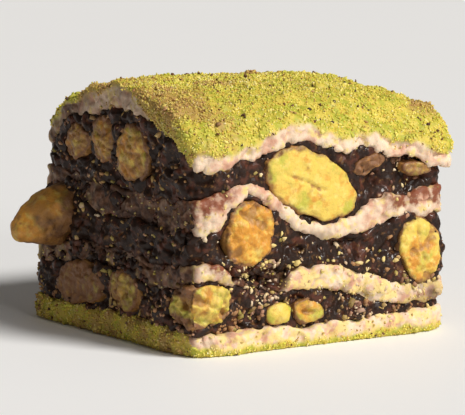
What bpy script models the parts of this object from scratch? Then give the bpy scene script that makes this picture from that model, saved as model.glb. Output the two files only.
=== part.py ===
"""One cut block of layered pistachio sweet, standing on its flat underside.

From the bottom up it has a nougat sheet coated with ground pistachio, three dark fruit fillings parted by two thin
wavy nougat sheets, and a domed top sheet with the same green coating. Whole pistachios sit in the fillings and show
at the four cut faces. The sheets arch over the nuts below them, sag under the nuts above them and are thinner where
a nut presses on them. The knife dragged the top sheet down at the front, its front right corner hangs over, and
the back left corner of the block leans inwards.

The front face looks along -Y. The origin is on the floor, in the middle of the block. Sizes are in millimetres
until a mesh is made.
"""

import functools
import math
import random

import bmesh
import bpy
from mathutils import Matrix, Vector, noise

METRES = 0.001

# The block
SIDE = 38.0
CORNER_RADIUS = 2.4
HALF = SIDE / 2
GAP = 0.3

# The back left corner leans to the right by this much over the height of the block, about a pivot at a share of it
LEAN = 4.0
LEAN_PIVOT = 0.56

# The domed top at its middle, and how much lower it lies at its right edge by a tilt. At each edge: how far it
# droops, and a power that is high where the droop starts late.
CROWN = 31.0
ROOF_TILT = 0.7
FRONT_DROOP = (5.4, 7)
BACK_DROOP = (4.0, 2.5)
LEFT_DROOP = (0.3, 7)
RIGHT_DROOP = (2.3, 4)
CORNER_DROOP = {"front left": 1.4, "front right": 0.0, "back left": 3.8, "back right": 2.8}
CORNER_POWER = 3

# Nougat sheets: the outer ones' thickness, and for the thin ones their level and half their thickness where a nut
# presses on them and where none does
BOTTOM_THICKNESS = 2.8
TOP_THICKNESS = 2.4
LOWER_LEVEL = 9.0
LOWER_HALVES = (0.9, 1.35)
UPPER_LEVEL = 17.4
UPPER_HALVES = (0.65, 1.7)
WAVE_HEIGHT = 0.7
WAVE_LENGTH = 9.0

# Round a place each near the front right corner the top sheet is thicker, it stands out over its sides, and the
# lower thin sheet dips. The upper thin sheet is thicker near the front left corner: x, y, reach, and how much.
HANG = (HALF, -HALF, 6.0, 0.9)
OVERHANG = (HALF, -HALF, 7.0, 1.1)
THICKER = (-15.5, -HALF, 5.5, 0.8)
DIP = (12.0, -HALF, 7.0, 3.5)

# A filling never gets thinner than this, and a sheet keeps this clear of a nut
LEAST_FILLING = 0.7
NUT_CLEARANCE = 0.7
DRAPE_REACH = 0.75

# Points round the outline, and the rings of a layer's face as (distance in from the outline, points)
STATIONS = 56
INNER_BAND = 3.2
PLAIN_RINGS = ((INNER_BAND, 56), (8.0, 28))
COATED_RINGS = ((0.9, 56), (2.3, 56), (4.2, 56), (6.6, 28), (9.2, 28), (12.0, 28), (15.2, 14))
UNDERSIDE_EDGE = 1.3
UNDERSIDE_RISE = 0.7
SHEET_ROWS = 2
FILLING_ROWS = 3

# Relief of the ground pistachio coating, and its larger grains
COATING_BUMP = 0.32
COATING_GRAIN = 1.6
GRAIN_RADIUS = (0.45, 0.85)
TOP_GRAINS = 28
EDGE_GRAINS = 13

# The nuts and their pockets: points and rings of each, how they taper, and how far a cut one stands out of its face
NUT_MESH = (10, 6)
POCKET_MESH = (8, 5)
POCKET_MARGIN = 0.65
NUT_TAPER = 0.14
CUT_STANDS_OUT = 0.15
NUT_DEPTH = 4.2

# A face's turn about the upright axis, in degrees from the front. "Along" runs to the right of someone facing it.
FACE_TURN = {"front": 0, "right": 90, "back": 180, "left": 270}

# Nuts of the two faces that are seen, from left to right and from the top down:
# name, face, along, height, half width, half height, tilt in degrees, how far in the middle lies, half depth
SEEN_NUTS = (
    ("nut_front_large", "front", -1.5, 20.8, 7.5, 4.2, 28, 0.9, NUT_DEPTH),
    ("nut_front_chip", "front", 7.1, 22.8, 2.4, 1.1, -12, 0.4, 2.0),
    ("nut_front_sliver", "front", 14.1, 21.6, 2.2, 0.9, 8, 0.5, 2.0),
    ("nut_front_orange", "front", -10.9, 15.4, 3.7, 4.4, 10, 0.7, NUT_DEPTH),
    ("nut_front_corner", "front", 14.9, 10.9, 3.4, 4.7, -12, 1.4, NUT_DEPTH),
    ("nut_front_crumbled", "front", -16.9, 6.5, 3.9, 2.9, -8, 1.8, NUT_DEPTH),
    ("nut_front_pea", "front", -6.5, 4.8, 2.0, 1.6, 0, 0.3, 2.2),
    ("nut_front_split", "front", -1.9, 4.5, 2.4, 1.5, 6, 0.6, 2.6),
    ("nut_left_tall", "left", 3.7, 24.2, 3.9, 3.9, 0, 0.9, NUT_DEPTH),
    ("nut_left_upper", "left", -3.5, 24.8, 3.0, 2.9, 15, 0.7, NUT_DEPTH),
    ("nut_left_far", "left", -10.5, 23.8, 3.1, 2.4, -10, 0.8, NUT_DEPTH),
    ("nut_left_jutting", "left", -14.0, 13.6, 3.9, 3.7, 15, -1.0, 6.0),
    ("nut_left_round", "left", -6.8, 5.9, 5.4, 2.9, 0, 0.6, NUT_DEPTH),
    ("nut_left_green", "left", 3.0, 6.4, 3.6, 2.6, 10, 0.7, NUT_DEPTH),
)

# One nut wasn't cut: it points out of its face with a sharper tip, and dips by this many degrees
WHOLE_NUT = "nut_left_jutting"
WHOLE_NUT_DIP = 18
WHOLE_NUT_TAPER = 0.3

# The two unseen faces are filled by a rule: for each filling, the height of its nuts and the size that fits it
UNSEEN_ROWS = (("low", 5.4, 2.3), ("middle", 13.1, 3.2), ("high", 21.8, 3.0))
UNSEEN_REACH = 13.4
UNSEEN_SPACING = (1.5, 4.5)
NUT_LENGTHENING = (0.8, 1.7)
NUT_FLATTENING = (0.8, 1.1)
LEAST_UNSEEN = 1.8
UNSEEN_LIFT = 0.6
UNSEEN_TILT = 18
UNSEEN_SEED = 3
GRAIN_SEED = 11
RELIEF_SEED = 23

# Finishes: colour, roughness
FINISHES = {
    "nougat": ((0.74, 0.56, 0.40), 0.6),
    "filling": ((0.06, 0.028, 0.024), 0.3),
    "nut": ((0.68, 0.44, 0.08), 0.55),
    "coating": ((0.52, 0.44, 0.07), 0.8),
}


def turned(angle, x, y):
    """A point in plan, turned about the upright axis by an angle in degrees."""
    c, s = math.cos(math.radians(angle)), math.sin(math.radians(angle))
    return Vector((c * x - s * y, s * x + c * y))


def outline(share):
    """The point at a share of the way round the block's rounded square, starting at the middle of the front."""
    straight = SIDE - 2 * CORNER_RADIUS
    arc = math.pi / 2 * CORNER_RADIUS
    side_number, along = divmod(share * 4 * (straight + arc), straight + arc)
    if along < straight / 2:
        x, y = along, -HALF
    elif along < straight / 2 + arc:
        angle = (along - straight / 2) / CORNER_RADIUS
        x = straight / 2 + CORNER_RADIUS * math.sin(angle)
        y = -straight / 2 - CORNER_RADIUS * math.cos(angle)
    else:
        x, y = HALF, along - straight - arc
    return turned(90 * side_number, x, y)


def inwards(share, distance):
    """The outline's point moved towards the middle of the block."""
    return outline(share) * (1 - distance / HALF)


def ripple(x, y, z, length, seed):
    """Smooth noise from -1 to 1 whose bumps are about one length across."""
    return noise.noise(Vector((x / length + 17.3 * seed, y / length - 9.1 * seed, z / length + 4.7 * seed)))


class Nut:
    """A pistachio: an egg that lies in one filling against a cut face."""

    def __init__(self, name, face, along, height, half_width, half_height, tilt, set_in, half_depth):
        self.name = name
        self.turn = FACE_TURN[face]
        self.half_sizes = Vector((half_width, half_depth, half_height))
        self.tilt = math.radians(tilt)
        self.along = along
        self.set_in = set_in
        self.height = height
        self.layer = (height > LOWER_LEVEL) + (height > UPPER_LEVEL)
        c, s = math.cos(self.tilt), math.sin(self.tilt)
        self.reach_along = math.hypot(half_width * c, half_height * s)
        self.reach_up = half_width * half_height / self.reach_along
        self.slope = (half_height**2 - half_width**2) * s * c / self.reach_along**2

    def matrix(self):
        """Where the nut lies: tilted in its face, moved to its place and turned to its side of the block."""
        side = Matrix.Rotation(math.radians(self.turn), 4, "Z")
        place = Matrix.Translation((self.along, self.set_in - HALF, self.height))
        tilt = Matrix.Rotation(self.tilt, 4, "Y")
        dip = Matrix.Rotation(math.radians(WHOLE_NUT_DIP if self.is_whole() else 0), 4, "X")
        return side @ place @ dip @ tilt

    def is_whole(self):
        return self.name == WHOLE_NUT

    def seen_from(self, x, y):
        """A plan point as (distance along the face from the nut's middle, distance into the block from it)."""
        across = turned(-self.turn, x, y)
        return across.x - self.along, across.y - (self.set_in - HALF)


def unseen_nuts():
    """Nuts along the right and back faces, side by side at uneven spacing in each filling."""
    chance = random.Random(UNSEEN_SEED)
    found = []
    for face in ("right", "back"):
        for row, height, half_height in UNSEEN_ROWS:
            start = -UNSEEN_REACH + chance.uniform(0, UNSEEN_SPACING[0])
            number = 1
            while UNSEEN_REACH - start > 2 * LEAST_UNSEEN:
                half_width = min(half_height * chance.uniform(*NUT_LENGTHENING), (UNSEEN_REACH - start) / 2)
                tall = min(half_height * chance.uniform(*NUT_FLATTENING), 1.3 * half_width)
                tilt = chance.uniform(-UNSEEN_TILT, UNSEEN_TILT)
                lift = chance.uniform(-UNSEEN_LIFT, UNSEEN_LIFT)
                set_in = chance.uniform(0.5, 1.2)
                name = f"nut_{face}_{row}_{number}"
                found.append(
                    Nut(name, face, start + half_width, height + lift, half_width, tall, tilt, set_in, NUT_DEPTH)
                )
                start += 2 * half_width + chance.uniform(*UNSEEN_SPACING)
                number += 1
    return found


NUTS = [Nut(*row) for row in SEEN_NUTS] + unseen_nuts()


def drape(level, x, y, below, above, half):
    """A sheet's level, pushed up over the nuts of the filling below it and down under those of the one above.

    The second value is how strongly they press on it there, from 0 to 1.
    """
    total, weights = 0.0, 0.0
    for nut in NUTS:
        if nut.layer not in (below, above):
            continue
        side = 1 if nut.layer == below else -1
        along, deep = nut.seen_from(x, y)
        ratio = (along / nut.reach_along) ** 2 + (deep / nut.half_sizes.y) ** 2
        weight = math.exp(-DRAPE_REACH * ratio)
        lean = nut.slope * max(-nut.reach_along, min(nut.reach_along, along))
        target = nut.height + lean + side * (nut.reach_up + half + NUT_CLEARANCE)
        if side * (target - level) > 0:
            total += weight * (target - level)
            weights += weight
    return level + total / max(1.0, weights), min(1.0, weights)


def wave(x, y, seed):
    return WAVE_HEIGHT * ripple(x, y, 0, WAVE_LENGTH, seed)


def swell(x, y, place):
    """A smooth change round a place, which gives its middle, its reach and how much."""
    middle_x, middle_y, reach, amount = place
    return amount * math.exp(-((math.hypot(x - middle_x, y - middle_y) / reach) ** 2))


def bottom_sheet_top(x, y):
    return drape(BOTTOM_THICKNESS + 0.5 * wave(x, y, 1), x, y, None, 0, 0)[0]


def sheet_at(level, x, y, below, above, halves, lowest, thicker):
    """A thin sheet's middle and half its thickness, kept above what lies below."""
    middle, press = drape(level, x, y, below, above, halves[0])
    half = halves[1] + (halves[0] - halves[1]) * press + thicker
    return max(middle, lowest + 2 * GAP + LEAST_FILLING + half), half


@functools.cache
def lower_sheet(x, y):
    """The middle of the lower thin sheet and half its thickness."""
    level = LOWER_LEVEL + wave(x, y, 2) - swell(x, y, DIP)
    return sheet_at(level, x, y, 0, 1, LOWER_HALVES, bottom_sheet_top(x, y), 0)


@functools.cache
def upper_sheet(x, y):
    """The middle of the upper thin sheet and half its thickness."""
    level = UPPER_LEVEL + wave(x, y, 3)
    return sheet_at(level, x, y, 1, 2, UPPER_HALVES, sum(lower_sheet(x, y)), swell(x, y, THICKER))


def sheet_face(sheet, side, distance):
    """A face of a thin sheet, or one at a distance from it: the upper face for side 1, the lower for -1."""

    def height(x, y):
        middle, half = sheet(x, y)
        return middle + side * (half + distance)

    return height


def droop(share, edge):
    amount, power = edge
    return amount * abs(share) ** power


def hang(x, y):
    """How much thicker the top sheet is."""
    return swell(x, y, HANG)


@functools.cache
def roof(x, y):
    """The outer surface of the top sheet: a dome that droops at its edges and more at its corners."""
    u, v = x / HALF, y / HALF
    corner = f"{'back' if v > 0 else 'front'} {'right' if u > 0 else 'left'}"
    level = CROWN + wave(x, y, 4) - TOP_THICKNESS - ROOF_TILT * u
    level -= droop(u, RIGHT_DROOP if u > 0 else LEFT_DROOP)
    level -= droop(v, BACK_DROOP if v > 0 else FRONT_DROOP)
    level -= droop(u * v, (CORNER_DROOP[corner], CORNER_POWER))
    underside = drape(level, x, y, 2, None, 0)[0]
    least = sum(upper_sheet(x, y)) + 2 * GAP + LEAST_FILLING
    return TOP_THICKNESS + max(underside, least + hang(x, y))


def roof_underside(distance):
    """The lower face of the top sheet, or one at a distance under it."""
    return lambda x, y: roof(x, y) - TOP_THICKNESS - hang(x, y) - distance


# The layers from the bottom up: name, finish, lower face, upper face
LAYERS = (
    ("bottom_sheet", "coating", None, bottom_sheet_top),
    ("lower_filling", "filling", lambda x, y: bottom_sheet_top(x, y) + GAP, sheet_face(lower_sheet, -1, GAP)),
    ("lower_sheet", "nougat", sheet_face(lower_sheet, -1, 0), sheet_face(lower_sheet, 1, 0)),
    ("middle_filling", "filling", sheet_face(lower_sheet, 1, GAP), sheet_face(upper_sheet, -1, GAP)),
    ("upper_sheet", "nougat", sheet_face(upper_sheet, -1, 0), sheet_face(upper_sheet, 1, 0)),
    ("upper_filling", "filling", sheet_face(upper_sheet, 1, GAP), roof_underside(GAP)),
    ("top_sheet", "coating", roof_underside(0), roof),
)

# How far the sides of each kind of layer are set in from the outline, and how uneven they are
SIDES = {"coating": (0.1, 0.35), "nougat": (0.1, 0.5), "filling": (0.35, 0.8)}


def height_at(surface, share, distance):
    """A layer face's height at a distance in from the outline.

    Within the outer band it runs straight from the outline to the band's inner edge, so that neighbours whose sides
    are set in by different amounts still meet face to face.
    """
    if distance >= INNER_BAND:
        return surface(*inwards(share, distance))
    at_outline = surface(*outline(share))
    at_band = surface(*inwards(share, INNER_BAND))
    return at_outline + (at_band - at_outline) * max(0.0, distance) / INNER_BAND


def side_distance(share, height, name, finish, seed):
    """How far in from the outline a layer's side lies, uneven in lumps of two sizes."""
    set_in, unevenness = SIDES[finish]
    x, y = outline(share)
    lumps = ripple(x, y, height, 4.2, seed) + 0.5 * ripple(x, y, height, 2.0, seed + 1)
    overhang = swell(x, y, OVERHANG) if name == "top_sheet" else 0
    return set_in + unevenness * lumps - overhang


def ring_points(surface, distance, count):
    """One ring of a layer's face."""
    shares = [i / count for i in range(count)]
    return [(*inwards(share, distance), height_at(surface, share, distance)) for share in shares]


def coated_ring(surface, distance, count):
    """One ring of the coated top, with the coating's bumps."""
    points = [(*inwards(i / count, distance), surface(*inwards(i / count, distance))) for i in range(count)]
    return [(x, y, z + COATING_BUMP * ripple(x, y, z, COATING_GRAIN, RELIEF_SEED)) for x, y, z in points]


def stitch(mesh, outer, inner, upwards):
    """Faces between two rings, the inner one with as many points or half as many."""
    count = len(outer)
    step = count // len(inner)
    for i in range(0, count, step):
        a, b = inner[i // step], inner[(i // step + 1) % len(inner)]
        corners = [outer[(i + k) % count] for k in range(step + 1)]
        faces = [(corners[k], corners[k + 1], a if k == 0 else b) for k in range(step)]
        faces.append((corners[1], b, a))
        for face in faces:
            mesh.faces.new(face if upwards else face[::-1])


def close_middle(mesh, ring, surface, upwards):
    """A fan from a ring to the middle of the block."""
    middle = mesh.verts.new((0, 0, surface(0, 0)))
    for i in range(len(ring)):
        face = (ring[i], ring[(i + 1) % len(ring)], middle)
        mesh.faces.new(face if upwards else face[::-1])


def add_face(mesh, edge, surface, rings, make_ring, upwards):
    """A whole face of a layer, from its edge to its middle."""
    outer = edge
    for distance, count in rings:
        inner = [mesh.verts.new(p) for p in make_ring(surface, distance, count)]
        stitch(mesh, outer, inner, upwards)
        outer = inner
    close_middle(mesh, outer, surface, upwards)


def add_flat_underside(mesh, edge):
    """The flat face that the block stands on, with a rim that turns up to the edge."""
    flat = [mesh.verts.new((*inwards(i / STATIONS, UNDERSIDE_EDGE), 0)) for i in range(STATIONS)]
    stitch(mesh, edge, flat, False)
    mesh.faces.new(flat[::-1])


def face_level(surface, share, distance):
    """A layer face's height near its edge; without a surface it is the turned-up rim of the underside."""
    return UNDERSIDE_RISE if surface is None else height_at(surface, share, distance)


def between(ends, part):
    return ends[0] + (ends[1] - ends[0]) * part


def layer_mesh(name, low, high, finish, seed):
    """A closed layer: its uneven sides, its lower face and its upper face."""
    mesh = bmesh.new()
    last_row = FILLING_ROWS if finish == "filling" else SHEET_ROWS
    rows = [[] for _ in range(last_row + 1)]
    for i in range(STATIONS):
        share = i / STATIONS
        levels = [face_level(surface, share, 0) for surface in (low, high)]
        distances = [side_distance(share, level, name, finish, seed) for level in levels]
        heights = [face_level(surface, share, d) for surface, d in zip((low, high), distances)]
        for k, row in enumerate(rows):
            level = between(levels, k / last_row)
            distance = side_distance(share, level, name, finish, seed)
            row.append(mesh.verts.new((*inwards(share, distance), between(heights, k / last_row))))
    for lower, upper in zip(rows, rows[1:]):
        for i in range(STATIONS):
            j = (i + 1) % STATIONS
            mesh.faces.new((lower[i], lower[j], upper[j], upper[i]))
    if low is None:
        add_flat_underside(mesh, rows[0])
    else:
        add_face(mesh, rows[0], low, PLAIN_RINGS, ring_points, False)
    if high is roof:
        add_face(mesh, rows[-1], high, COATED_RINGS, coated_ring, True)
    else:
        add_face(mesh, rows[-1], high, PLAIN_RINGS, ring_points, True)
    return mesh


def nut_mesh(nut, counts, margin):
    """The nut's egg in place, larger by a margin when it is to cut a pocket."""
    mesh = bmesh.new()
    bmesh.ops.create_uvsphere(mesh, u_segments=counts[0], v_segments=counts[1], radius=1)
    long_axis = 1 if nut.is_whole() else 0
    taper = WHOLE_NUT_TAPER if nut.is_whole() else NUT_TAPER
    lay_down = Matrix.Rotation(math.pi / 2, 4, "X" if nut.is_whole() else "Y")
    sizes = nut.half_sizes + Vector((margin, margin, margin))
    for vert in mesh.verts:
        point = lay_down @ vert.co
        narrowing = 1 + taper * (point.y if nut.is_whole() else -point.x)
        for axis in range(3):
            point[axis] *= sizes[axis] * (1 if axis == long_axis else narrowing)
        vert.co = point
    mesh.transform(nut.matrix())
    return mesh


def cut_flush(mesh):
    """Cuts what lies beyond the block's faces, as the knife did, and closes the cuts."""
    for turn in FACE_TURN.values():
        normal = turned(turn, 0, -1)
        plane = normal * (HALF + CUT_STANDS_OUT)
        geometry = mesh.verts[:] + mesh.edges[:] + mesh.faces[:]
        cut = bmesh.ops.bisect_plane(
            mesh, geom=geometry, dist=1e-5, plane_co=(*plane, 0), plane_no=(*normal, 0), clear_outer=True
        )
        edges = [e for e in cut["geom_cut"] if isinstance(e, bmesh.types.BMEdge)]
        bmesh.ops.holes_fill(mesh, edges=edges)


def grain_mesh(chance, point, radius):
    """A large grain of the coating, an uneven chip."""
    mesh = bmesh.new()
    bmesh.ops.create_icosphere(mesh, subdivisions=1, radius=radius)
    for vert in mesh.verts:
        vert.co *= chance.uniform(0.8, 1.2)
    squeeze = Matrix.Diagonal((1.0, chance.uniform(0.6, 0.9), chance.uniform(0.5, 0.8), 1.0))
    turn = Matrix.Rotation(chance.uniform(0, math.tau), 4, "Z")
    mesh.transform(Matrix.Translation(point) @ turn @ squeeze)
    return mesh


def finish_of(name):
    """The finish's material, made once."""
    if name in bpy.data.materials:
        return bpy.data.materials[name]
    colour, roughness = FINISHES[name]
    material = bpy.data.materials.new(name)
    material.use_nodes = True
    shader = material.node_tree.nodes["Principled BSDF"]
    shader.inputs["Base Color"].default_value = (*colour, 1)
    shader.inputs["Roughness"].default_value = roughness
    shader.inputs["Metallic"].default_value = 0.0
    return material


def leaning(point):
    """How far a point is moved to the right because the back left corner leans inwards."""
    leftness = (1 - point.x / HALF) / 2
    backness = (1 + point.y / HALF) / 2
    return LEAN * (point.z / CROWN - LEAN_PIVOT) * leftness * backness


def make_object(name, mesh, finish, collection):
    """An object in metres from an upright mesh in millimetres."""
    for vert in mesh.verts:
        vert.co.x += leaning(vert.co)
    bmesh.ops.scale(mesh, vec=(METRES, METRES, METRES), verts=mesh.verts[:])
    bmesh.ops.recalc_face_normals(mesh, faces=mesh.faces[:])
    data = bpy.data.meshes.new(name)
    mesh.to_mesh(data)
    mesh.free()
    data.materials.append(finish_of(finish))
    made = bpy.data.objects.new(name, data)
    collection.objects.link(made)
    return made


def helper_collection(name):
    made = bpy.data.collections.new(name)
    bpy.context.scene.collection.children.link(made)
    return made


def join_or_cut(body, collection, operation):
    """Applies one Boolean between a body and all that a collection holds."""
    modifier = body.modifiers.new(operation, "BOOLEAN")
    modifier.operation = operation
    modifier.operand_type = "COLLECTION"
    modifier.collection = collection
    modifier.solver = "EXACT"
    graph = bpy.context.evaluated_depsgraph_get()
    result = bpy.data.meshes.new_from_object(body.evaluated_get(graph))
    body.modifiers.clear()
    body.data = result


def remove_collection(collection):
    for helper in list(collection.objects):
        bpy.data.objects.remove(helper)
    bpy.data.collections.remove(collection)


def keep_largest_piece(body):
    """Drops the loose scraps that a cut leaves."""
    mesh = bmesh.new()
    mesh.from_mesh(body.data)
    waiting = set(mesh.faces)
    pieces = []
    while waiting:
        found, edge = set(), [waiting.pop()]
        while edge:
            face = edge.pop()
            found.add(face)
            near = {other for side in face.edges for other in side.link_faces} & waiting
            waiting -= near
            edge.extend(near)
        pieces.append(found)
    pieces.sort(key=len)
    scraps = [face for piece in pieces[:-1] for face in piece]
    bmesh.ops.delete(mesh, geom=scraps, context="FACES")
    mesh.to_mesh(body.data)
    mesh.free()


def add_top_grains(body):
    """Fuses the larger grains to the coated top, evenly spread by the golden angle."""
    chance = random.Random(GRAIN_SEED)
    collection = helper_collection("top_grains")
    golden_angle = math.pi * (3 - math.sqrt(5))
    for i in range(TOP_GRAINS):
        share = math.sqrt((i + 0.5) / TOP_GRAINS)
        angle = i * golden_angle
        stretch = 1 / max(abs(math.cos(angle)), abs(math.sin(angle)))
        reach = share * (HALF - 2.0) * stretch
        x, y = reach * math.cos(angle), reach * math.sin(angle)
        radius = chance.uniform(*GRAIN_RADIUS)
        mesh = grain_mesh(chance, (x, y, roof(x, y) + 0.1), radius)
        make_object(f"top_grain_{i}", mesh, "coating", collection)
    join_or_cut(body, collection, "UNION")
    remove_collection(collection)


def add_edge_grains(body):
    """Fuses grains to the low sides of the bottom sheet, clear of the floor and of the filling above."""
    chance = random.Random(GRAIN_SEED + 1)
    collection = helper_collection("edge_grains")
    for i in range(EDGE_GRAINS):
        share = (i + chance.uniform(-0.3, 0.3)) / EDGE_GRAINS % 1
        radius = chance.uniform(GRAIN_RADIUS[0], 0.6)
        x, y = inwards(share, 0.1)
        mesh = grain_mesh(chance, (x, y, 1.3), radius)
        make_object(f"edge_grain_{i}", mesh, "coating", collection)
    join_or_cut(body, collection, "UNION")
    remove_collection(collection)


def main():
    for old in list(bpy.data.objects):
        bpy.data.objects.remove(old)
    scene = bpy.context.scene.collection

    pockets = helper_collection("nut_pockets")
    for nut in NUTS:
        mesh = nut_mesh(nut, POCKET_MESH, POCKET_MARGIN)
        make_object(f"{nut.name}_pocket", mesh, "nut", pockets)

    for seed, (name, finish, low, high) in enumerate(LAYERS):
        body = make_object(name, layer_mesh(name, low, high, finish, 10 * seed), finish, scene)
        join_or_cut(body, pockets, "DIFFERENCE")
        if name == "top_sheet":
            add_top_grains(body)
        if name == "bottom_sheet":
            add_edge_grains(body)
        keep_largest_piece(body)
    remove_collection(pockets)

    for nut in NUTS:
        mesh = nut_mesh(nut, NUT_MESH, 0)
        if not nut.is_whole():
            cut_flush(mesh)
        body = make_object(nut.name, mesh, "nut", scene)
        body.data.shade_smooth()
        body.data.set_sharp_from_angle(angle=math.radians(50))


main()
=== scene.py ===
"""The looks of one cut piece of layered pistachio sweet.

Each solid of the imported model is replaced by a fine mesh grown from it: sticky lumpy fillings that close
round the nuts, stained nougat sheets with ragged cut edges, crumbly cut pistachios, and a coat of ground
pistachio. Sizes are in millimetres until a mesh is written.
"""

import math

import bmesh
import bpy
import numpy as np
from mathutils import Matrix, Vector
from mathutils.bvhtree import BVHTree


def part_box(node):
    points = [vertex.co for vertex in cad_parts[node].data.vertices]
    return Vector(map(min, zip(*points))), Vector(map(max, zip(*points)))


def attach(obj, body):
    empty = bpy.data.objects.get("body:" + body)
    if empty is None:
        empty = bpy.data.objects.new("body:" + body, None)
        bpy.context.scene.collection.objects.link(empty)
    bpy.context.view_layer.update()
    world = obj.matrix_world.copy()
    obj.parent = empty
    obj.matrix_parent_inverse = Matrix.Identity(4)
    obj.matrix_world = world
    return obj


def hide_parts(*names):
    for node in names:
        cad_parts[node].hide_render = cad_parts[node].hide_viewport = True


MM = 0.001

# The block's half side and height, how far its back left corner leans to the right over that height, and the
# share of the height at which it doesn't
HALF = 19.0
CROWN = 31.0
LEAN = 4.0
LEAN_PIVOT = 0.56

# The direction that each cut face looks in: axis and sign
FACES = {"front": (1, -1), "left": (0, -1), "right": (0, 1), "back": (1, 1)}

# How deep a band behind the cut faces gets the finest mesh
FINE_BAND = 2.4

# Mesh sizes before the visible parts are split once more
LAYER_VOXEL = 0.42
NUT_VOXEL = 0.34

# Points of a solid that lie closer than this are one point
MERGE_DISTANCE = 0.002

# How far each layer swells, which closes the gaps between the solids
SWELL = 0.3

# A filling closes round its nuts: they swell by this margin and end this far behind its faces
NUT_MARGIN = 0.8
FILLING_FACE = 0.4

# How far the filling sinks where a nut shows, over what rim inside the nut, and how far behind the face
BED_DEPTH = 0.9
BED_RIM = (0.05, 0.4)
BED_REACH = 2.0

# Where the knife's drag fades: how far behind the cut faces, and how high above the floor
DRAG_DEPTHS = (3.5, 1.2)
DRAG_HEIGHTS = (0.6, 2.4)

# What counts as a cut side: how far behind the faces and how far off upright that fades
FILLING_SIDE = ((3.0, 1.2), (0.95, 0.6))
SHEET_SIDE = ((1.8, 0.9), (0.9, 0.5))
CRUMBED_SIDE = ((2.5, 1.0), (0.9, 0.5))

# Triangles that face up or down more than this belong to the upper or lower face of a sheet
FACING_UP = 0.35

# The lower thin sheet is torn at the front: from where to where, at what height, how its ends slant and
# soften, and how far it is set back there
TORN_SHEET = "lower_sheet"
TEAR = (-12.4, -5.2)
TEAR_HEIGHT = 8.8
TEAR_SLANTS = (-1.1, 0.8)
TEAR_SOFTNESS = 0.5
TEAR_DEPTH = 1.7

# Deep hollows in the fillings and dark stains on the thin sheets, on the front face: x, height, reach
HOLLOWS = ((13.8, 21.0, 2.4), (8.2, 20.6, 1.6), (-14.0, 14.6, 1.6), (4.0, 13.0, 2.0))
HOLLOW_DEPTH = 1.5
STAINS = ((-16.5, 19.8, 3.9), (13.5, 18.8, 4.6), (18.0, 18.2, 3.5), (-15.0, 10.8, 2.8))

# The depth of the fillings' creases and of the chips off the sheets' edges, and how much lumpier the
# fillings are and how much deeper the sheets are worn on the left
CREASE_DEPTH = 0.65
CHIP_DEPTH = 0.5
LEFT_LUMPS = 0.15
LEFT_WEAR = 0.6

# Filling is smeared over the thin sheets round this place on the front face: x, height, reach
SOILED = ((16.0, 5.8, 2.8),)

# The coat is browned round these places on the top: x, y, reach
BROWNED = ((-18.5, -10.0, 8.8), (-17.0, 6.0, 7.0), (17.5, -14.0, 2.5), (-6.0, -3.0, 2.5), (4.0, 6.0, 3.0))

# How browned the coat is round those places, how much shade is painted as brown low on the left side, and the
# most of the two together anywhere. The heights are where each of the two fades in.
BROWNED_TOP = 1.25
LEFT_FOOT_PAINTED_SHADE = 0.75
MOST_BROWNED_AND_SHADED = 0.78
ROOF_HEIGHTS = (18.0, 22.0)
FOOT_HEIGHTS = (6.0, 3.0)

# Crumbs gather round these places on the front face: x, height, reach
CRUMB_SPOTS = (
    (-14.6, 12.4, 1.6), (-2.0, 10.2, 1.8), (2.5, 10.6, 1.6), (7.0, 10.0, 1.6), (11.5, 9.6, 1.8),
    (-9.0, 8.0, 3.0), (-3.0, 4.6, 3.0), (7.0, 3.8, 4.0), (15.5, 5.5, 2.4), (12.5, 22.2, 2.4),
)

# How far the ground pistachio wraps over the edge of each outer sheet, and how much further on the left
# side and at the front right corner of the top
TOP_COAT_REACH = 0.3
TOP_LEFT_REACH = 2.6
TOP_CORNER = (HALF, -HALF, 4.0)
TOP_CORNER_REACH = 0.9
BOTTOM_COAT_REACH = 1.0
BOTTOM_LEFT_REACH = 1.7

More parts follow.
